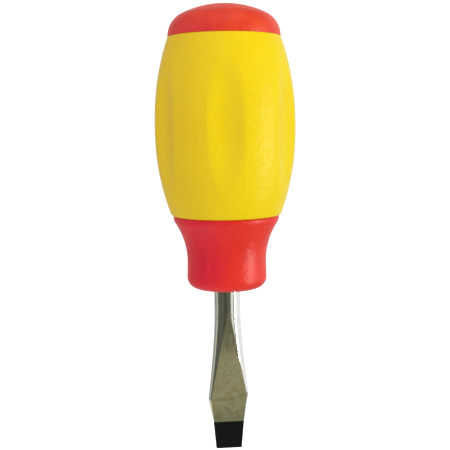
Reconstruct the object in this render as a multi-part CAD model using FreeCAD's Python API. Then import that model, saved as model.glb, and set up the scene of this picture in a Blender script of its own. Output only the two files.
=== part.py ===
import FreeCAD
import Part
import math
import os

# A stubby slotted screwdriver with a fixed blade: steel blade, moulded core, soft grip and end cap.
# Millimetres. The origin is the middle of the tip's end face, +Z runs up the blade into the handle,
# and X lies along the width of the tip.

# --- Driving dimensions -------------------------------------------------------------------------

# Blade, from the tip up
TIP_WIDTH = 6.0
TIP_THICKNESS = 1.0
GROUND_LENGTH = 6.5            # the tip's ground length, which carries the black finish
GROUND_WIDTH = 7.15            # width where the grinding ends
FLARE_HEIGHT = 12.6            # the widest place of the forged flare, above the tip
FLARE_WIDTH = 9.4
FLARE_THICKNESS = 2.5
FLARE_FACE_WIDTH = 8.2         # width of the flat face there, without the rounded sides
FLARE_SLANT = 9.3              # degrees: the forging is uneven, so its -X corner lies lower
EDGE_BULGE = 0.06              # how far the side edges stand proud of the face, at the tip
FORGING_LENGTH = 19.7          # from the widest place up to where the bar is round again
FORGING_POWER = 1.6            # how late the sides spread: 1 is a straight taper
SHANK_DIAMETER = 6.0
BLADE_REACH = 38.0             # length of blade in front of the collar

# Tang, inside the core
TANG_LENGTH = 40.0
TANG_CHAMFER = 0.8
WING_WIDTH = 9.0               # two wings pressed out of the bar stop it turning in the core
WING_THICKNESS = 3.5
WING_LENGTH = 12.0
WING_TAPER = 2.0
WING_SETBACK = 8.0             # from the wings to the end of the tang
PRESSED_THICKNESS = 5.0        # the bar between the wings, where the dies have squeezed it

# Collar, the visible front of the core
COLLAR_LENGTH = 16.45
COLLAR_FRONT_DIAMETER = 18.0
COLLAR_FRONT_RADIUS = 2.4      # rounding of the front corner
COLLAR_WAIST_DIAMETER = 17.8
COLLAR_RIM_DIAMETER = 23.8
COLLAR_FLARE_RADIUS = 16.0     # hollow sweep from the waist out to the rim
COLLAR_RIM_RADIUS = 2.5        # rounded bead that ends the sweep
COLLAR_STEP_RADIUS = 0.3       # softened top edge of the rim

# Core body, under the grip
CORE_DIAMETER = 19.0
KEY_WIDTH = 3.0                # one key under each ridge of the grip stops the grip turning
KEY_HEIGHT = 1.6
KEY_SETBACK = 4.0              # from each end of the grip
LOCK_GROOVE_WIDTH = 3.0        # ring grooves hold the grip along the axis
LOCK_GROOVE_DEPTH = 1.0
LOCK_GROOVE_SETBACK = 9.0      # from each end of the grip to the middle of a groove

# Grip
GRIP_LENGTH = 39.35
GRIP_FRONT_DIAMETER = 24.6
GRIP_BELLY_DIAMETER = 31.3
GRIP_REAR_DIAMETER = 24.9
GRIP_BELLY_HEIGHT = 19.6       # from the front of the grip to the belly
GRIP_BARREL_POWER = 2.2        # how full the barrel is: 2 is a parabola
GRIP_FRONT_EDGE_RADIUS = 0.6   # rounding where the grip stands proud of the collar
GRIP_REAR_EDGE_RADIUS = 0.2    # and where it meets the cap
FLUTE_COUNT = 6
FLUTE_RADIUS = 9.0
FLUTE_SETBACK = 7.2            # from each end of the grip, at least, to where the flutes begin
FLUTE_EDGE_RADIUS = 2.5        # softening of the ridges beside a flute
GRIP_CLOCKING = -4.7           # degrees from the tip's flat face to the middle of the nearest flute

# End cap
CAP_HEIGHT = 7.1
CAP_WALL_HEIGHT = 0.1          # straight part above the grip
CAP_SHOULDER_RADIUS = 5.4      # rounds the wall into the dome
PLUG_DIAMETER = 12.0
PLUG_LENGTH = 9.0
PLUG_CHAMFER = 0.8
SNAP_RING_WIDTH = 2.0
SNAP_RING_HEIGHT = 0.45
SNAP_RING_SETBACK = 4.0        # from the cap's underside to the middle of the ring

# Clearances
CAP_FIT = 0.05                 # plug and snap ring in the core's socket, per side
PLUG_END_GAP = 0.5             # below the end of the plug

# How finely the free curves are followed
FORGING_STEPS = 8              # sections along the forging
BARREL_STEPS = 12              # points along the barrel's outline
FACE_START = 5.0               # degrees to each side of the round bar where a flat face begins
SAME_PLACE = 0.01              # an edge this close to a height or a radius lies on it

# --- Places that follow from them ---------------------------------------------------------------

SHANK_RADIUS = SHANK_DIAMETER / 2
FORGING_TOP = FLARE_HEIGHT + FORGING_LENGTH
COLLAR_FRONT = BLADE_REACH
TANG_END = COLLAR_FRONT + TANG_LENGTH
GRIP_FRONT = COLLAR_FRONT + COLLAR_LENGTH
GRIP_REAR = GRIP_FRONT + GRIP_LENGTH
CAP_TOP = GRIP_REAR + CAP_HEIGHT
CORE_RADIUS = CORE_DIAMETER / 2


# --- Helpers ------------------------------------------------------------------------------------

def point(radius, height):
    """A point of a profile that is turned about the Z axis."""
    return FreeCAD.Vector(radius, 0, height)


def line(start, end):
    return Part.LineSegment(start, end).toShape()


def arc(start, middle, end):
    return Part.Arc(start, middle, end).toShape()


def on_circle(centre, radius, angle):
    """The point of a circle in a profile at this angle, in degrees from straight outward."""
    turn = math.radians(angle)
    return centre + FreeCAD.Vector(radius * math.cos(turn), 0, radius * math.sin(turn))


def rounding(centre, radius, start, end):
    """The arc of that circle between two angles."""
    return arc(on_circle(centre, radius, start), on_circle(centre, radius, (start + end) / 2),
               on_circle(centre, radius, end))


def turned(edges):
    """The solid made by turning a closed profile about the Z axis."""
    face = Part.Face(Part.Wire(edges))
    return face.revolve(FreeCAD.Vector(0, 0, 0), FreeCAD.Vector(0, 0, 1), 360)


def turned_polygon(corners):
    """The same, for a profile of straight lines given as (radius, height) corners."""
    points = [point(radius, height) for radius, height in corners]
    return turned([line(a, b) for a, b in zip(points, points[1:] + points[:1])])


def spun(shape, angle):
    """A copy turned by this many degrees about the Z axis."""
    copy = shape.copy()
    copy.rotate(FreeCAD.Vector(0, 0, 0), FreeCAD.Vector(0, 0, 1), angle)
    return copy


def flute_angle(number):
    """The direction of a flute's middle, in degrees from +X. Flute 0 is near the face towards -Y."""
    return -90 + GRIP_CLOCKING + number * 360 / FLUTE_COUNT


# --- Blade --------------------------------------------------------------------------------------

def blade_section(height, half_width, half_thickness, half_face, crown=0, slope=0):
    """A section of the blade: two faces, flat unless crowned, joined by two rounded sides."""
    edge = half_thickness - crown

    def at(x, y):
        return FreeCAD.Vector(x, y, height + slope * x)

    def face(side):
        ends = at(-side * half_face, side * edge), at(side * half_face, side * edge)
        return arc(ends[0], at(0, side * half_thickness), ends[1]) if crown else line(*ends)

    def flank(side):
        return arc(at(side * half_face, side * edge), at(side * half_width, 0),
                   at(side * half_face, -side * edge))

    return Part.Wire([face(1), flank(1), face(-1), flank(-1)])


def forged_section(share):
    """The forged stretch, from the round bar at share 0 to the widest place at share 1."""
    def blend(start, end, power=1.0):
        return start + (end - start) * share ** power

    half_face_at_bar = SHANK_RADIUS * math.sin(math.radians(FACE_START))
    crown_at_bar = SHANK_RADIUS * (1 - math.cos(math.radians(FACE_START)))
    return blade_section(
        FORGING_TOP - share * FORGING_LENGTH,
        blend(SHANK_RADIUS, FLARE_WIDTH / 2, FORGING_POWER),
        blend(SHANK_RADIUS, FLARE_THICKNESS / 2),
        blend(half_face_at_bar, FLARE_FACE_WIDTH / 2),
        crown_at_bar if share == 0 else 0,
        blend(0, math.tan(math.radians(FLARE_SLANT))))


def wing_plate():
    """The two pressed wings, as one plate across the bar with tapered ends."""
    top = TANG_END - WING_SETBACK
    bottom = top - WING_LENGTH
    wide = WING_WIDTH / 2
    corners = [(-SHANK_RADIUS, bottom), (SHANK_RADIUS, bottom), (wide, bottom + WING_TAPER),
               (wide, top - WING_TAPER), (SHANK_RADIUS, top), (-SHANK_RADIUS, top),
               (-wide, top - WING_TAPER), (-wide, bottom + WING_TAPER)]
    points = [FreeCAD.Vector(x, -WING_THICKNESS / 2, z) for x, z in corners]
    outline = Part.makePolygon(points + points[:1])
    return Part.Face(outline).extrude(FreeCAD.Vector(0, WING_THICKNESS, 0))


def pressed_faces():
    """What the dies push out of the bar, on its two sides, to raise the wings."""
    length = WING_LENGTH - 2 * WING_TAPER
    bottom = TANG_END - WING_SETBACK - WING_TAPER - length
    slab = Part.makeBox(SHANK_DIAMETER, SHANK_DIAMETER, length,
                        FreeCAD.Vector(-SHANK_RADIUS, PRESSED_THICKNESS / 2, bottom))
    return [slab, spun(slab, 180)]


def make_blade():
    slope = (FLARE_THICKNESS - TIP_THICKNESS) / FLARE_HEIGHT
    ground_thickness = TIP_THICKNESS + slope * GROUND_LENGTH
    tip = blade_section(0, TIP_WIDTH / 2, TIP_THICKNESS / 2, TIP_WIDTH / 2 - EDGE_BULGE)
    ground = blade_section(GROUND_LENGTH, GROUND_WIDTH / 2, ground_thickness / 2,
                           GROUND_WIDTH / 2 - 2 * EDGE_BULGE)
    widest = forged_section(1)
    forging = [forged_section(step / FORGING_STEPS) for step in range(FORGING_STEPS + 1)]

    end = Part.makeLoft([tip, ground, widest], True, True)
    flare = Part.makeLoft(forging, True, False)
    bar_length = TANG_END - TANG_CHAMFER - FORGING_TOP
    bar = Part.makeCylinder(SHANK_RADIUS, bar_length, FreeCAD.Vector(0, 0, FORGING_TOP))
    bar_end = Part.makeCone(SHANK_RADIUS, SHANK_RADIUS - TANG_CHAMFER, TANG_CHAMFER,
                            FreeCAD.Vector(0, 0, TANG_END - TANG_CHAMFER))
    pressed_bar = bar.cut(pressed_faces())
    return end.fuse([flare, pressed_bar, bar_end, wing_plate()]).removeSplitter()


# --- Core ---------------------------------------------------------------------------------------

def collar_profile():
    """The collar's outline from the axis out to the grip's front face, and where that ends."""
    front = COLLAR_FRONT_DIAMETER / 2
    waist = COLLAR_WAIST_DIAMETER / 2
    rim = COLLAR_RIM_DIAMETER / 2
    corner = point(front - COLLAR_FRONT_RADIUS, COLLAR_FRONT + COLLAR_FRONT_RADIUS)

    # the hollow sweep and the rounded rim are two arcs that meet on one slope
    both = COLLAR_FLARE_RADIUS + COLLAR_RIM_RADIUS
    slope = math.degrees(math.acos(1 - (rim - waist) / both))
    rim_top = GRIP_FRONT - COLLAR_STEP_RADIUS
    bead = point(rim - COLLAR_RIM_RADIUS, rim_top)
    sweep = point(waist + COLLAR_FLARE_RADIUS, rim_top - both * math.sin(math.radians(slope)))
    step = point(rim - COLLAR_STEP_RADIUS, rim_top)

    edges = [
        line(point(0, COLLAR_FRONT), on_circle(corner, COLLAR_FRONT_RADIUS, -90)),
        rounding(corner, COLLAR_FRONT_RADIUS, -90, 0),
        line(on_circle(corner, COLLAR_FRONT_RADIUS, 0), on_circle(sweep, COLLAR_FLARE_RADIUS, 180)),
        rounding(sweep, COLLAR_FLARE_RADIUS, 180, 180 - slope),
        rounding(bead, COLLAR_RIM_RADIUS, -slope, 0),
        rounding(step, COLLAR_STEP_RADIUS, 0, 90),
    ]
    return edges, on_circle(step, COLLAR_STEP_RADIUS, 90)


def core_outside():
    """The core with its keys and ring grooves, before the blade and the cap's socket."""
    edges, rim_end = collar_profile()
    corners = [rim_end, point(CORE_RADIUS, GRIP_FRONT), point(CORE_RADIUS, GRIP_REAR),
               point(0, GRIP_REAR), point(0, COLLAR_FRONT)]
    core = turned(edges + [line(a, b) for a, b in zip(corners, corners[1:])])

    key_length = GRIP_LENGTH - 2 * KEY_SETBACK
    key = Part.makeBox(CORE_RADIUS + KEY_HEIGHT, KEY_WIDTH, key_length,
                       FreeCAD.Vector(0, -KEY_WIDTH / 2, GRIP_FRONT + KEY_SETBACK))
    ridge = 180 / FLUTE_COUNT
    core = core.fuse([spun(key, flute_angle(number) + ridge) for number in range(FLUTE_COUNT)])

    outside = COLLAR_RIM_DIAMETER / 2
    bottom = CORE_RADIUS - LOCK_GROOVE_DEPTH
    for middle in (GRIP_FRONT + LOCK_GROOVE_SETBACK, GRIP_REAR - LOCK_GROOVE_SETBACK):
        low = middle - LOCK_GROOVE_WIDTH / 2
        high = middle + LOCK_GROOVE_WIDTH / 2
        core = core.cut(turned_polygon([(bottom, low), (outside, low), (outside, high),
                                        (bottom, high)]))
    return core


def plug_outline(gap, end_gap):
    """The plug and its snap ring as (radius, height) corners, grown by a clearance."""
    radius = PLUG_DIAMETER / 2 + gap
    ring = radius + SNAP_RING_HEIGHT
    middle = GRIP_REAR - SNAP_RING_SETBACK
    half = SNAP_RING_WIDTH / 2 + gap
    land = half - SNAP_RING_HEIGHT
    bottom = GRIP_REAR - PLUG_LENGTH - end_gap
    return [(0, bottom), (radius - PLUG_CHAMFER, bottom), (radius, bottom + PLUG_CHAMFER),
            (radius, middle - half), (ring, middle - land), (ring, middle + land),
            (radius, middle + half), (radius, GRIP_REAR), (0, GRIP_REAR)]


def make_core(outside, blade):
    socket = turned_polygon(plug_outline(CAP_FIT, PLUG_END_GAP))
    return outside.cut(socket).cut(blade)


# --- Grip ---------------------------------------------------------------------------------------

def barrel_radius(height):
    """The grip's radius on a ridge, at a height above the tip."""
    belly = GRIP_FRONT + GRIP_BELLY_HEIGHT
    if height < belly:
        end, end_radius = GRIP_FRONT, GRIP_FRONT_DIAMETER / 2
    else:
        end, end_radius = GRIP_REAR, GRIP_REAR_DIAMETER / 2
    share = (height - belly) / (end - belly)
    return end_radius + (GRIP_BELLY_DIAMETER / 2 - end_radius) * (1 - share ** GRIP_BARREL_POWER)


def make_grip(core):
    heights = [GRIP_FRONT + GRIP_LENGTH * step / BARREL_STEPS for step in range(BARREL_STEPS + 1)]
    outline = Part.BSplineCurve()
    outline.interpolate([point(barrel_radius(height), height) for height in heights])
    front = GRIP_FRONT_DIAMETER / 2
    rear = GRIP_REAR_DIAMETER / 2
    barrel = turned([line(point(0, GRIP_FRONT), point(front, GRIP_FRONT)), outline.toShape(),
                     line(point(rear, GRIP_REAR), point(0, GRIP_REAR)),
                     line(point(0, GRIP_REAR), point(0, GRIP_FRONT))])
    barrel = barrel.makeFillet(GRIP_FRONT_EDGE_RADIUS, edges_near(barrel, front, GRIP_FRONT))
    barrel = barrel.makeFillet(GRIP_REAR_EDGE_RADIUS, edges_near(barrel, rear, GRIP_REAR))

    # a flute is a straight hollow, so its floor is as far out as the barrel is where it begins
    starts = GRIP_FRONT + FLUTE_SETBACK, GRIP_REAR - FLUTE_SETBACK
    offset = max(barrel_radius(height) for height in starts) + FLUTE_RADIUS
    flute = Part.makeCylinder(FLUTE_RADIUS, GRIP_LENGTH, FreeCAD.Vector(offset, 0, GRIP_FRONT))
    flutes = [spun(flute, flute_angle(number)) for number in range(FLUTE_COUNT)]
    fluted = barrel.cut(flutes)
    hollows = [face for face in fluted.Faces if isinstance(face.Surface, Part.Cylinder)]
    ridges = [edge for hollow in hollows for edge in hollow.Edges]
    return fluted.makeFillet(FLUTE_EDGE_RADIUS, ridges).cut(core)


def edges_near(shape, radius, height):
    """The round edges of a turned solid at this radius and height."""
    def near(box):
        places = (box.ZMin, height), (box.ZMax, height), (box.XMax, radius)
        return all(abs(value - place) < SAME_PLACE for value, place in places)

    return [edge for edge in shape.Edges if near(edge.BoundBox)]


# --- End cap ------------------------------------------------------------------------------------

def make_end_cap():
    """A dome with a rounded shoulder, on a plug with a snap ring."""
    radius = GRIP_REAR_DIAMETER / 2
    shoulder = point(radius - CAP_SHOULDER_RADIUS, GRIP_REAR + CAP_WALL_HEIGHT)

    # the dome is the one sphere that meets the shoulder on one slope and has its top at CAP_TOP
    rise = CAP_TOP - shoulder.z
    squares = shoulder.x ** 2 + rise ** 2 - CAP_SHOULDER_RADIUS ** 2
    dome_radius = squares / (2 * (rise - CAP_SHOULDER_RADIUS))
    dome = point(0, CAP_TOP - dome_radius)
    lean = math.degrees(math.atan2(shoulder.z - dome.z, shoulder.x))

    top = on_circle(dome, dome_radius, 90)
    plug = [point(*corner) for corner in plug_outline(0, 0)][:-1]
    corners = [top] + plug + [point(radius, GRIP_REAR), on_circle(shoulder, CAP_SHOULDER_RADIUS, 0)]
    edges = [line(a, b) for a, b in zip(corners, corners[1:])]
    return turned(edges + [rounding(shoulder, CAP_SHOULDER_RADIUS, 0, lean),
                           rounding(dome, dome_radius, lean, 90)])


# --- Assembly -----------------------------------------------------------------------------------

def main():
    blade = make_blade()
    outside = core_outside()
    pieces = {
        "blade": blade,
        "core": make_core(outside, blade),
        "grip": make_grip(outside),
        "end_cap": make_end_cap(),
    }
    os.makedirs("parts", exist_ok=True)
    for name, shape in pieces.items():
        solid = shape.Solids[0]
        print(f"{name}: {len(shape.Solids)} solid, valid {shape.isValid()}, {solid.Volume:.1f} mm3")
        solid.exportStep(f"parts/{name}.step")


main()
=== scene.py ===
"""A stubby slotted screwdriver: looks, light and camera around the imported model.

Blender works in metres, in the CAD's frame: +Z up the blade into the handle, -Y the front. Sizes here
are written in millimetres and turned into metres by MM, angles are in degrees, and colours are linear
red, green and blue.
"""

import math

import bpy
from mathutils import Matrix, Vector


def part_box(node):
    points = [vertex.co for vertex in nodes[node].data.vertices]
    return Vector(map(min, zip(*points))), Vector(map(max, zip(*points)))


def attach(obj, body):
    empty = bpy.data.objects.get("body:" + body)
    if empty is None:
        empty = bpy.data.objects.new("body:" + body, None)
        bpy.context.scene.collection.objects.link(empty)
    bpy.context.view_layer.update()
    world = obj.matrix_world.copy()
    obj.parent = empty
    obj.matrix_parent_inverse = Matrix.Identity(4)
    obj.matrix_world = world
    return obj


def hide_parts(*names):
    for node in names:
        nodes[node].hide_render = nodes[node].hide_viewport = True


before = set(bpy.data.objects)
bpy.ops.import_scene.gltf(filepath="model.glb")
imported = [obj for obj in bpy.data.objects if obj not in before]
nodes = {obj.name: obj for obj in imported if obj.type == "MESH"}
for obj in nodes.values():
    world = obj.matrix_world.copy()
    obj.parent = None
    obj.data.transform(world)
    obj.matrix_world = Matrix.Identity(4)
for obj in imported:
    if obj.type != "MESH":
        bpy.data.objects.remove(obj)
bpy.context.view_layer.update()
MM = 0.001

# --- Sizes ------------------------------------------------------------------------------------------

# Blade: where its finishes and its painted shade begin and end, above the tip
BLACK_TOP = 6.5                     # the oxide finish covers the ground tip
BLACK_BLUR = 0.03                   # half the width of the oxide's upper edge
BLACK_WANDER = 0.14                 # between the highest and lowest that edge can be
PAINTED_SHADE_LENGTH = 5.0                  # painted shade: the flat faces darken over this much above the oxide
DULLING_TOP = 25.5                  # the flat faces begin to lose their polish here
DULLING_LENGTH = 9.0                # and have lost it this far below
FLAT_START, FLAT_END = 0.965, 0.985 # how squarely a face looks to the front or back to count as flat
TIP_HALF_WIDTH = 3.0                # at the end face
TIP_TOP_HALF_WIDTH = 3.575          # where the oxide ends

# Grip: the barrel and its flutes
GRIP_BELLY = 19.6                   # above the grip's front
GRIP_END_RADII = 12.3, 12.45        # front and rear
GRIP_BARREL_POWER = 2.2             # of the curve from the belly to each end; 2 is a parabola
GRIP_EDGE_RADII = 0.6, 0.2          # front and rear
GRIP_BORE_RADIUS = 10.0             # inside the mesh, hidden by the core
FLUTE_COUNT = 6
FLUTE_RADIUS = 9.0                  # of a flute's own round section
FLUTE_FLOOR = 14.47                 # from the axis
FLUTE_CLOCKING = -4.7               # from the front to the middle of the nearest flute
RIDGE_ROUNDING = 0.67               # a ridge is rounded where barrel and flute are closer than this
RIDGE_REACH = 1.2                   # and is worn where they are closer than this
GRIP_TURNS, GRIP_ROWS = 480, 150
EDGE_STEPS = 6

# Camera: in front, a little to the left, looking slightly down at a place on the axis
AIM_HEIGHT = 52.1                   # above the tip
CAMERA_DISTANCE = 193.0
CAMERA_AZIMUTH = -6.0               # the tip's left end is a little nearer
CAMERA_ELEVATION = 6.8
CAMERA_ROLL = 0.72
CAMERA_LENS = 68.4
CAMERA_REACH = 10.0, 20000.0        # the nearest and farthest that it sees
AXIS_SHIFT = 0.003                  # of the picture's width, that the axis lies right of its middle

# Studio
FLOOR_DROP = 120.0                  # the floor lies this far below the tip
FLOOR_SIZE = 6000.0
SOFTBOX_DISTANCE = 420.0

# --- Colours and finishes ---------------------------------------------------------------------------

# A pair of colours or roughnesses is mottled between the two. A tint multiplies the colour under it.
YELLOW = (0.89, 0.665, 0.002), (0.91, 0.690, 0.004)
YELLOW_WORN = (0.93, 0.72, 0.03)
YELLOW_SPECK_TINT = (0.88, 0.82, 0.60)
YELLOW_WORN_SHARE, YELLOW_SPECK_SHARE = 0.15, 0.3
YELLOW_ROUGHNESS, YELLOW_WORN_ROUGHNESS = (0.33, 0.41), 0.31
YELLOW_SPECULAR = 0.14

COLLAR_RED = (0.77, 0.005, 0.0), (0.86, 0.009, 0.001)
CAP_RED = (0.78, 0.027, 0.001), (0.87, 0.047, 0.002)
RED_SCUFFED = (0.80, 0.24, 0.20)
RED_SCUFF_SHARE = 0.10
RED_ROUGHNESS = 0.38, 0.46
RED_SPECULAR = 0.46

CHROME = (0.76, 0.76, 0.74), (0.84, 0.84, 0.82)
# ground steel, its olive tint partly a painted reflection of yellowish surroundings
GROUND_WITH_PAINTED_REFLECTION = (0.60, 0.58, 0.42), (0.71, 0.69, 0.51)
GROUND_STAIN_TINT = (0.92, 0.84, 0.80)
# painted shade on the ground faces just above the oxide
GROUND_PAINTED_SHADE_TINT = (0.72, 0.76, 0.78)
OXIDE = (0.004, 0.0045, 0.0035)
OXIDE_RUBBED_SHARE = 0.35           # of the oxide that is gone on the sharpest edges
OXIDE_METALLIC = 0.25
CHROME_ROUGHNESS, GROUND_ROUGHNESS, OXIDE_ROUGHNESS = (0.07, 0.14), (0.26, 0.38), 0.5
STEEL_SPECULAR = 0.2

FLOOR_COLOR, FLOOR_ROUGHNESS = (0.9, 0.9, 0.9), 0.9
FLOOR_GLOW = 0.6
BACKDROP = (1.1, 1.1, 1.1)          # what the camera sees around the tool

# --- Surroundings -----------------------------------------------------------------------------------

# What polished steel mirrors near the horizon: (azimuth, grey, its blue as a share of the grey)
CARDS = [
    (-180, 0.90, 1.00), (-132, 0.30, 0.92), (-120, 0.32, 0.88), (-112, 0.58, 0.80),
    (-100, 0.56, 0.80), (-92, 0.12, 0.76), (-60, 0.11, 0.76), (-38, 0.12, 0.72), (-28, 0.07, 0.68),
    (-18, 0.07, 0.68), (-8, 0.12, 0.68), (8, 0.12, 0.68), (22, 0.16, 0.76),
    (29, 0.95, 0.88), (42, 0.95, 0.88), (48, 0.42, 0.92), (56, 0.45, 0.92),
    (64, 1.00, 1.00), (100, 1.00, 1.00), (180, 0.90, 1.00)]

# And elsewhere. Where each begins and ends is a part of the direction's unit vector: its z for the
# table and the ceiling, its y for what is behind.
TABLE = [                           # in front: (-z of the direction, colour)
    (0.36, (0.15, 0.15, 0.095)), (0.43, (0.155, 0.15, 0.085)), (0.475, (0.70, 0.64, 0.36)),
    (0.53, (0.60, 0.55, 0.34)), (0.58, (0.24, 0.25, 0.17)), (0.66, (0.40, 0.40, 0.35)),
    (0.78, (0.95, 0.95, 0.92))]
TABLE_START, TABLE_END = -0.30, -0.38
TABLE_BEHIND = (0.60, 0.60, 0.58)
BEHIND_START, BEHIND_END = 0.2, 0.6
CEILING = (0.35, 0.35, 0.35)
CEILING_START, CEILING_END = 0.35, 0.75

# The soft light on matt surfaces: bluish from the left, yellowish from the right, dimmer from behind.
# It changes with the direction's x from left to right, and with its y toward the back.
SOFT_LEFT, SOFT_RIGHT = (0.78, 0.67, 1.60), (0.86, 0.87, 0.45)
SOFT_RIGHT_START, SOFT_RIGHT_END = -0.9, 0.5
SOFT_BACK_TINT = (0.62, 0.62, 0.62)
SOFT_BACK_START, SOFT_BACK_END = -0.2, 0.9


# --- Node graphs ------------------------------------------------------------------------------------

class Graph:
    """Adds nodes to a material or a world. Nearly every call returns an output of the node it adds."""

    def __init__(self, owner):
        owner.use_nodes = True
        self.tree = owner.node_tree
        self.tree.nodes.clear()

    def add(self, kind, inputs, output=0, **settings):
        node = self.tree.nodes.new("ShaderNode" + kind)
        for name, value in settings.items():
            setattr(node, name, value)
        for key, value in inputs.items():
            socket = node.inputs[key]
            if isinstance(value, bpy.types.NodeSocket):
                self.tree.links.new(value, socket)
            elif socket.type == "RGBA":
                socket.default_value = (*value, 1)
            else:
                socket.default_value = value
        return node.outputs[output] if node.outputs else None

    def math(self, operation, a, b=0.0, c=0.0):
        return self.add("Math", {0: a, 1: b, 2: c}, operation=operation)

    def millimetres(self):
        """The place on the object, in millimetres."""
        place = self.add("TexCoord", {}, output="Object")
        return self.add("VectorMath", {0: place, "Scale": 1 / MM}, operation="SCALE")

    def split(self, vector):
        """The three parts of a vector."""
        return self.add("SeparateXYZ", {0: vector}).node.outputs

    def stretched(self, vector, x, y, z):
        return self.add("VectorMath", {0: vector, 1: Vector((x, y, z))}, operation="MULTIPLY")

    def noise(self, vector, size, detail=2.0, roughness=0.5):
        """A noise from 0 to 1 whose blotches are about this many millimetres."""
        return self.add("TexNoise", {"Vector": vector, "Scale": 1 / size, "Detail": detail,
                                     "Roughness": roughness})

    def ramp(self, value, low, high, start=0.0, end=1.0):
        """Goes smoothly from start to end as the value goes from low to high."""
        return self.add("MapRange", {0: value, 1: low, 2: high, 3: start, 4: end},
                        interpolation_type="SMOOTHSTEP")

    def mix(self, share, a, b):
        """A colour between two."""
        return self.add("Mix", {0: share, 6: a, 7: b}, output=2, data_type="RGBA")

    def tint(self, share, a, b):
        """The colour a, multiplied by b as far as the share says."""
        return self.add("Mix", {0: share, 6: a, 7: b}, output=2, data_type="RGBA",
                        blend_type="MULTIPLY")

    def blend(self, share, a, b):
        """A number between two."""
        return self.add("Mix", {0: share, 2: a, 3: b})

    def gradient(self, value, stops):
        """A colour that follows a value from 0 to 1 along stops, each (value, colour)."""
        output = self.add("ValToRGB", {0: value})
        elements = output.node.color_ramp.elements
        while len(elements) > 1:
            elements.remove(elements[0])
        for number, (position, color) in enumerate(stops):
            element = elements[0] if number == 0 else elements.new(position)
            element.position = position
            element.color = (*color, 1)
        return output

    def bump(self, height, depth, normal=None):
        """A relief of this many millimetres, on top of the one that the normal carries."""
        inputs = {"Strength": 1.0, "Distance": depth * MM, "Height": height}
        if normal is not None:
            inputs["Normal"] = normal
        return self.add("Bump", inputs)

    def surface(self, inputs):
        shader = self.add("BsdfPrincipled", inputs)
        self.add("OutputMaterial", {"Surface": shader})


# --- Materials --------------------------------------------------------------------------------------

def yellow_material():
    """Soft moulded grip: fine matt texture, paler and smoother where the ridges are handled."""
    material = bpy.data.materials.new("yellow_grip")
    graph = Graph(material)
    place = graph.millimetres()
    ridge = graph.add("Attribute", {}, output="Fac", attribute_name="ridge")

    clouds = graph.noise(place, size=9.0, detail=3.0)
    color = graph.mix(graph.ramp(clouds, 0.35, 0.65), *YELLOW)
    patches = graph.noise(place, size=3.0, detail=4.0)
    worn = graph.math("MULTIPLY", ridge, graph.ramp(patches, 0.4, 0.7))
    color = graph.mix(graph.math("MULTIPLY", worn, YELLOW_WORN_SHARE), color, YELLOW_WORN)
    specks = graph.ramp(graph.noise(place, size=0.5), 0.68, 0.78)
    color = graph.tint(graph.math("MULTIPLY", specks, YELLOW_SPECK_SHARE), color, YELLOW_SPECK_TINT)

    texture = graph.noise(place, size=0.16)
    pebbles = graph.noise(place, size=1.0)
    relief = graph.bump(texture, depth=0.012)
    relief = graph.bump(pebbles, depth=0.16, normal=relief)
    relief = graph.bump(graph.noise(place, size=5.0, detail=1.0), depth=0.05, normal=relief)
    roughness = graph.ramp(pebbles, 0.3, 0.7, *YELLOW_ROUGHNESS)
    roughness = graph.blend(worn, roughness, YELLOW_WORN_ROUGHNESS)
    graph.surface({"Base Color": color, "Roughness": roughness, "Normal": relief,
                   "Specular IOR Level": YELLOW_SPECULAR})
    return material


def red_material(name, colors):
    """Hard moulded plastic with a satin skin, faint flow marks and small scuffs."""
    material = bpy.data.materials.new(name)
    graph = Graph(material)
    place = graph.millimetres()
    flow = graph.noise(graph.stretched(place, 1.0, 1.0, 0.35), size=3.5, detail=3.0, roughness=0.6)
    color = graph.mix(graph.ramp(flow, 0.3, 0.7), *colors)
    scuffs = graph.noise(graph.stretched(place, 1.0, 1.0, 4.0), size=1.2, detail=4.0, roughness=0.65)
    scuffed = graph.ramp(scuffs, 0.62, 0.72)
    color = graph.mix(graph.math("MULTIPLY", scuffed, RED_SCUFF_SHARE), color, RED_SCUFFED)
    relief = graph.bump(graph.noise(place, size=0.25), depth=0.010)
    relief = graph.bump(graph.noise(place, size=0.9), depth=0.10, normal=relief)
    relief = graph.bump(graph.noise(place, size=2.6), depth=0.035, normal=relief)
    relief = graph.bump(scuffs, depth=0.01, normal=relief)
    roughness = graph.ramp(flow, 0.3, 0.7, *RED_ROUGHNESS)
    graph.surface({"Base Color": color, "Roughness": roughness, "Normal": relief,
                   "Specular IOR Level": RED_SPECULAR})
    return material


def oxide_share(graph, place, x, z):
    """How much black finish there is: it ends in a line that wanders and is rubbed off sharp edges."""
    wander = graph.math("MULTIPLY_ADD", graph.noise(place, size=0.5), BLACK_WANDER,
                        -BLACK_WANDER / 2)
    height = graph.math("ADD", z, wander)
    black = graph.ramp(height, BLACK_TOP + BLACK_BLUR, BLACK_TOP - BLACK_BLUR)

    # side is how far out past the tip's narrow sides a place is
    spread = (TIP_TOP_HALF_WIDTH - TIP_HALF_WIDTH) / BLACK_TOP
    side = graph.math("MULTIPLY_ADD", z, -spread, -TIP_HALF_WIDTH)
    side = graph.math("ADD", side, graph.math("ABSOLUTE", x))
    rubbing = graph.math("MULTIPLY_ADD", graph.noise(place, size=0.35, detail=3.0), 0.3, -0.25)
    at_edge = graph.ramp(graph.math("ADD", side, rubbing), -0.16, -0.02)
    at_end = graph.ramp(graph.math("SUBTRACT", z, rubbing), 0.12, 0.02)
    rubbed = graph.math("MULTIPLY", graph.math("MAXIMUM", at_edge, at_end), OXIDE_RUBBED_SHARE)
    return graph.math("MULTIPLY", black, graph.math("SUBTRACT", 1.0, rubbed))


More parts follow.
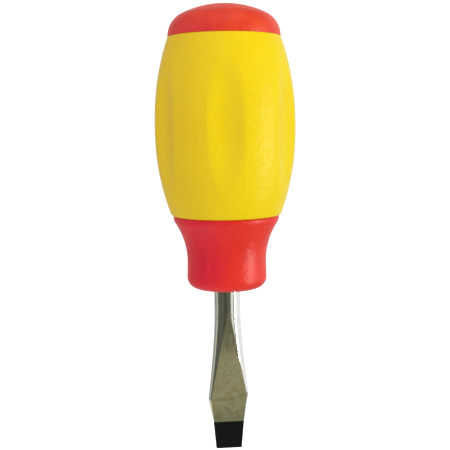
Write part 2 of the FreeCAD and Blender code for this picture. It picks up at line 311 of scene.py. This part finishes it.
def steel_material():
    """The blade's three finishes: chrome bar, dull ground faces, and black oxide on the tip. The ground
    faces' olive colour is partly a painted reflection, and they carry painted shade just above the
    oxide.
    """
    material = bpy.data.materials.new("blade_steel")
    graph = Graph(material)
    place = graph.millimetres()
    x, _, z = graph.split(place)
    normal = graph.add("NewGeometry", {}, output="True Normal")
    facing = graph.math("ABSOLUTE", graph.split(normal)[1])

    # the flat faces grow duller with the distance from the round bar
    below = graph.ramp(z, DULLING_TOP, DULLING_TOP - DULLING_LENGTH)
    dull = graph.math("MULTIPLY", graph.ramp(facing, FLAT_START, FLAT_END), below)
    black = oxide_share(graph, place, x, z)

    mottle = graph.noise(place, size=0.8, detail=4.0, roughness=0.55)
    stain = graph.noise(place, size=2.5, detail=3.0)
    grinding = graph.noise(graph.stretched(place, 0.25, 1.0, 9.0), size=1.1, detail=3.0, roughness=0.6)
    # the ground faces' colour: their steel, with a painted olive reflection mottled into it
    ground = graph.mix(graph.ramp(mottle, 0.3, 0.7), *GROUND_WITH_PAINTED_REFLECTION)
    ground = graph.tint(graph.ramp(stain, 0.42, 0.65, end=0.6), ground, GROUND_STAIN_TINT)
    # painted shade: the ground faces darken toward the oxide
    ground = graph.tint(graph.ramp(z, BLACK_TOP + PAINTED_SHADE_LENGTH, BLACK_TOP), ground, GROUND_PAINTED_SHADE_TINT)
    chrome = graph.mix(graph.ramp(stain, 0.3, 0.7), *CHROME)
    color = graph.mix(black, graph.mix(dull, chrome, ground), OXIDE)

    smear = graph.noise(graph.stretched(place, 1.0, 1.0, 0.3), size=0.8, detail=3.0)
    chrome_roughness = graph.ramp(smear, 0.4, 0.7, *CHROME_ROUGHNESS)
    ground_roughness = graph.ramp(mottle, 0.3, 0.7, *GROUND_ROUGHNESS)
    roughness = graph.blend(dull, chrome_roughness, ground_roughness)
    relief = graph.bump(graph.noise(place, size=0.3), depth=0.0015)
    relief = graph.bump(graph.math("MULTIPLY", grinding, dull), depth=0.004, normal=relief)
    relief = graph.bump(graph.math("MULTIPLY", mottle, dull), depth=0.004, normal=relief)
    graph.surface({"Base Color": color, "Metallic": graph.blend(black, 1.0, OXIDE_METALLIC),
                   "Roughness": graph.blend(black, roughness, OXIDE_ROUGHNESS), "Normal": relief,
                   "Specular IOR Level": STEEL_SPECULAR})
    return material


# --- Objects ----------------------------------------------------------------------------------------

def paint(name, material):
    """Gives a piece of the CAD model its material."""
    mesh = nodes[name].data
    mesh.materials.clear()
    mesh.materials.append(material)


def add_object(name, data):
    thing = bpy.data.objects.new(name, data)
    bpy.context.scene.collection.objects.link(thing)
    return thing


def face_tool(thing, azimuth, elevation, distance):
    """Puts a camera or a light this far from the aim, facing it.

    An azimuth of 0 is the front and 90 is the right.
    """
    azimuth, elevation = math.radians(azimuth), math.radians(elevation)
    way = Vector((math.sin(azimuth) * math.cos(elevation), -math.cos(azimuth) * math.cos(elevation),
                  math.sin(elevation)))
    thing.location = (Vector((0, 0, AIM_HEIGHT)) + way * distance) * MM
    thing.rotation_mode = "QUATERNION"
    thing.rotation_quaternion = (-way).to_track_quat("-Z", "Y")


# --- Grip -------------------------------------------------------------------------------------------

def smooth_minimum(a, b, width):
    """The smaller of two numbers, rounded over where they cross."""
    near = max(width - abs(a - b), 0) / width
    return min(a, b) - near * near * width / 4


def flute_radius(angle):
    """How far from the axis a flute's wall is, at an angle from the front in radians."""
    pitch = 2 * math.pi / FLUTE_COUNT
    turn = angle - math.radians(FLUTE_CLOCKING)
    off = turn - pitch * round(turn / pitch)
    centre = FLUTE_FLOOR + FLUTE_RADIUS
    inside = FLUTE_RADIUS ** 2 - (centre * math.sin(off)) ** 2
    return centre * math.cos(off) - math.sqrt(inside) if inside > 0 else centre


def skin_rows(front, rear):
    """The height of each row of the grip's outside, and how far a rounded edge pulls it in there."""
    front_edge, rear_edge = GRIP_EDGE_RADII
    turns = [math.pi / 2 * number / EDGE_STEPS for number in range(EDGE_STEPS + 1)]
    span = rear - rear_edge - front - front_edge
    rows = [(front + front_edge * (1 - math.sin(turn)), front_edge * (1 - math.cos(turn)))
            for turn in reversed(turns)]
    rows += [(front + front_edge + span * number / GRIP_ROWS, 0.0) for number in range(1, GRIP_ROWS)]
    rows += [(rear - rear_edge * (1 - math.sin(turn)), rear_edge * (1 - math.cos(turn)))
             for turn in turns]
    return rows


def make_grip():
    """A barrel with lens-shaped flutes, rounded ends and a plain bore."""
    low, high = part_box("grip")
    front, rear = low.z / MM, high.z / MM
    belly = front + GRIP_BELLY
    belly_radius = min(-low.x, high.x) / MM
    angles = [2 * math.pi * number / GRIP_TURNS for number in range(GRIP_TURNS)]

    def barrel(height):
        end, radius = (front, GRIP_END_RADII[0]) if height < belly else (rear, GRIP_END_RADII[1])
        share = (height - belly) / (end - belly)
        return radius + (belly_radius - radius) * (1 - share ** GRIP_BARREL_POWER)

    def skin(height, pull):
        """For each angle, how far out the skin is and how much it is a ridge, from 0 to 1."""
        outer = barrel(height)
        ring = []
        for angle in angles:
            hollow = flute_radius(angle)
            ridge = max(0.0, 1 - abs(hollow - outer) / RIDGE_REACH) * (outer > FLUTE_FLOOR)
            ring.append((smooth_minimum(outer, hollow, RIDGE_ROUNDING) - pull, ridge))
        return ring

    bore = [(GRIP_BORE_RADIUS, 0.0)] * GRIP_TURNS
    rows = [(height, skin(height, pull)) for height, pull in skin_rows(front, rear)]
    rows = [(front, bore), *rows, (rear, bore)]
    vertices, ridges = [], []
    for height, ring in rows:
        for angle, (radius, ridge) in zip(angles, ring):
            x, y = radius * math.sin(angle), -radius * math.cos(angle)
            vertices.append((x * MM, y * MM, height * MM))
            ridges.append(ridge)
    faces = []
    for row in range(len(rows)):
        above = (row + 1) % len(rows)
        for number in range(GRIP_TURNS):
            beside = (number + 1) % GRIP_TURNS
            faces.append((row * GRIP_TURNS + number, row * GRIP_TURNS + beside,
                          above * GRIP_TURNS + beside, above * GRIP_TURNS + number))
    mesh = bpy.data.meshes.new("soft_grip")
    mesh.from_pydata(vertices, [], faces)
    mesh.attributes.new("ridge", "FLOAT", "POINT").data.foreach_set("value", ridges)
    mesh.shade_smooth()
    mesh.materials.append(yellow_material())
    grip = add_object("soft_grip", mesh)
    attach(grip, "root")
    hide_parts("grip")


# --- Camera -----------------------------------------------------------------------------------------

def add_camera():
    data = bpy.data.cameras.new("camera")
    data.lens = CAMERA_LENS
    data.shift_x = -AXIS_SHIFT
    data.clip_start, data.clip_end = (reach * MM for reach in CAMERA_REACH)
    camera = add_object("camera", data)
    face_tool(camera, CAMERA_AZIMUTH, CAMERA_ELEVATION, CAMERA_DISTANCE)
    roll = Matrix.Rotation(math.radians(-CAMERA_ROLL), 4, "Z").to_quaternion()
    camera.rotation_quaternion = camera.rotation_quaternion @ roll
    bpy.context.scene.camera = camera


# --- Studio -----------------------------------------------------------------------------------------

def add_softbox(name, azimuth, elevation, size, radiance, lights=True, shines=True):
    """A rectangle of light, (width, height), that faces the tool from a direction around it.

    It lights matt surfaces, or is mirrored by glossy ones, or both.
    """
    data = bpy.data.lights.new(name, "AREA")
    data.shape = "RECTANGLE"
    data.size, data.size_y = size[0] * MM, size[1] * MM
    data.energy = radiance * math.pi * data.size * data.size_y
    light = add_object(name, data)
    face_tool(light, azimuth, elevation, SOFTBOX_DISTANCE)
    light.visible_diffuse = lights
    light.visible_glossy = shines


def add_softboxes():
    add_softbox("key", azimuth=50, elevation=12, size=(50, 300), radiance=8.2, shines=False)
    add_softbox("strip", azimuth=66, elevation=-4, size=(36, 240), radiance=34.0, lights=False)
    add_softbox("low", azimuth=64, elevation=-28, size=(60, 110), radiance=12.0, lights=False)
    add_softbox("top", azimuth=20, elevation=70, size=(260, 200), radiance=1.0)
    add_softbox("back", azimuth=170, elevation=15, size=(60, 260), radiance=13.0, shines=False)


def add_floor():
    """A pale floor well below the tip, plain enough to be lost in the white around the object."""
    half, z = FLOOR_SIZE / 2 * MM, -FLOOR_DROP * MM
    mesh = bpy.data.meshes.new("floor")
    mesh.from_pydata([(-half, -half, z), (half, -half, z), (half, half, z), (-half, half, z)],
                     [], [(0, 1, 2, 3)])
    material = bpy.data.materials.new("floor")
    Graph(material).surface({"Base Color": FLOOR_COLOR, "Roughness": FLOOR_ROUGHNESS,
                             "Emission Color": (1, 1, 1), "Emission Strength": FLOOR_GLOW})
    mesh.materials.append(material)
    floor = add_object("floor", mesh)
    floor.visible_diffuse = False
    floor.visible_glossy = False


def add_world():
    """White for the camera; bright and dark cards for polished faces; a soft side light for the rest."""
    world = bpy.data.worlds.new("studio")
    bpy.context.scene.world = world
    graph = Graph(world)
    way = graph.add("TexCoord", {}, output="Generated")
    x, y, z = graph.split(way)
    azimuth = graph.math("ARCTAN2", x, graph.math("MULTIPLY", y, -1.0))
    turn = graph.math("MULTIPLY_ADD", azimuth, 0.5 / math.pi, 0.5)

    cards = graph.gradient(turn, [((angle + 180) / 360, (grey, grey, grey * blue))
                                  for angle, grey, blue in CARDS])
    table = graph.gradient(graph.math("MULTIPLY", z, -1.0), TABLE)
    table = graph.mix(graph.ramp(y, BEHIND_START, BEHIND_END), table, TABLE_BEHIND)
    mirrored = graph.mix(graph.ramp(z, TABLE_START, TABLE_END), cards, table)
    mirrored = graph.mix(graph.ramp(z, CEILING_START, CEILING_END), mirrored, CEILING)

    toward_right = graph.ramp(x, SOFT_RIGHT_START, SOFT_RIGHT_END)
    soft = graph.mix(toward_right, SOFT_LEFT, SOFT_RIGHT)
    toward_back = graph.ramp(y, SOFT_BACK_START, SOFT_BACK_END)
    soft = graph.tint(toward_back, soft, SOFT_BACK_TINT)

    path = graph.add("LightPath", {}).node.outputs
    sky = graph.mix(path["Is Glossy Ray"], soft, mirrored)
    sky = graph.mix(path["Is Camera Ray"], sky, BACKDROP)
    shader = graph.add("Background", {"Color": sky, "Strength": 1.0})
    graph.add("OutputWorld", {"Surface": shader})


# --- Scene ------------------------------------------------------------------------------------------

paint("core", red_material("red_collar", COLLAR_RED))
paint("end_cap", red_material("red_cap", CAP_RED))
paint("blade", steel_material())
make_grip()
add_camera()
add_floor()
add_world()
add_softboxes()
bpy.context.scene.view_settings.view_transform = "Standard"
